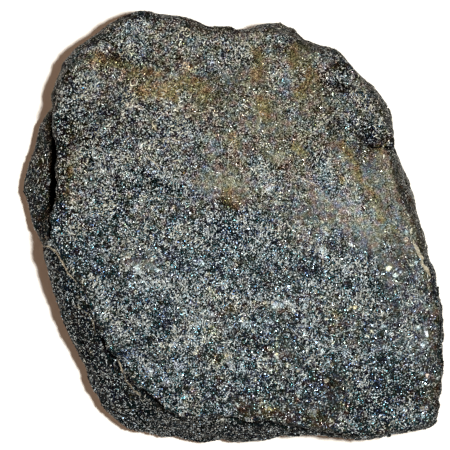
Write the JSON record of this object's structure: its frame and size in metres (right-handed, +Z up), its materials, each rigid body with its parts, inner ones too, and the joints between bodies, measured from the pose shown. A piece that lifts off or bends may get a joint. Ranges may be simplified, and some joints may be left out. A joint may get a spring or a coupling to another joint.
{
  "type": "chrome ore",
  "caption": "Broken slab of dark granular chromite rock with a lower shelf on one side and a sloping bench along its front, lying on its flat base.",
  "frame": {"origin": "on the ground plane that the slab lies on, under the middle of its bounding box", "axes": "+Z up out of the broad upper face, +Y towards the narrow weathered end, -X towards the side with the lower shelf"},
  "size_m": [0.1294, 0.1334, 0.0436],
  "materials": {
    "chromite_rock": "Rough broken rock of tightly packed black grains with blue-grey and white glints, and tan to rusty weathering on the narrow end."
  },
  "bodies": {
    "root": {"ore": "chromite_rock"}
  },
  "joints": []
}
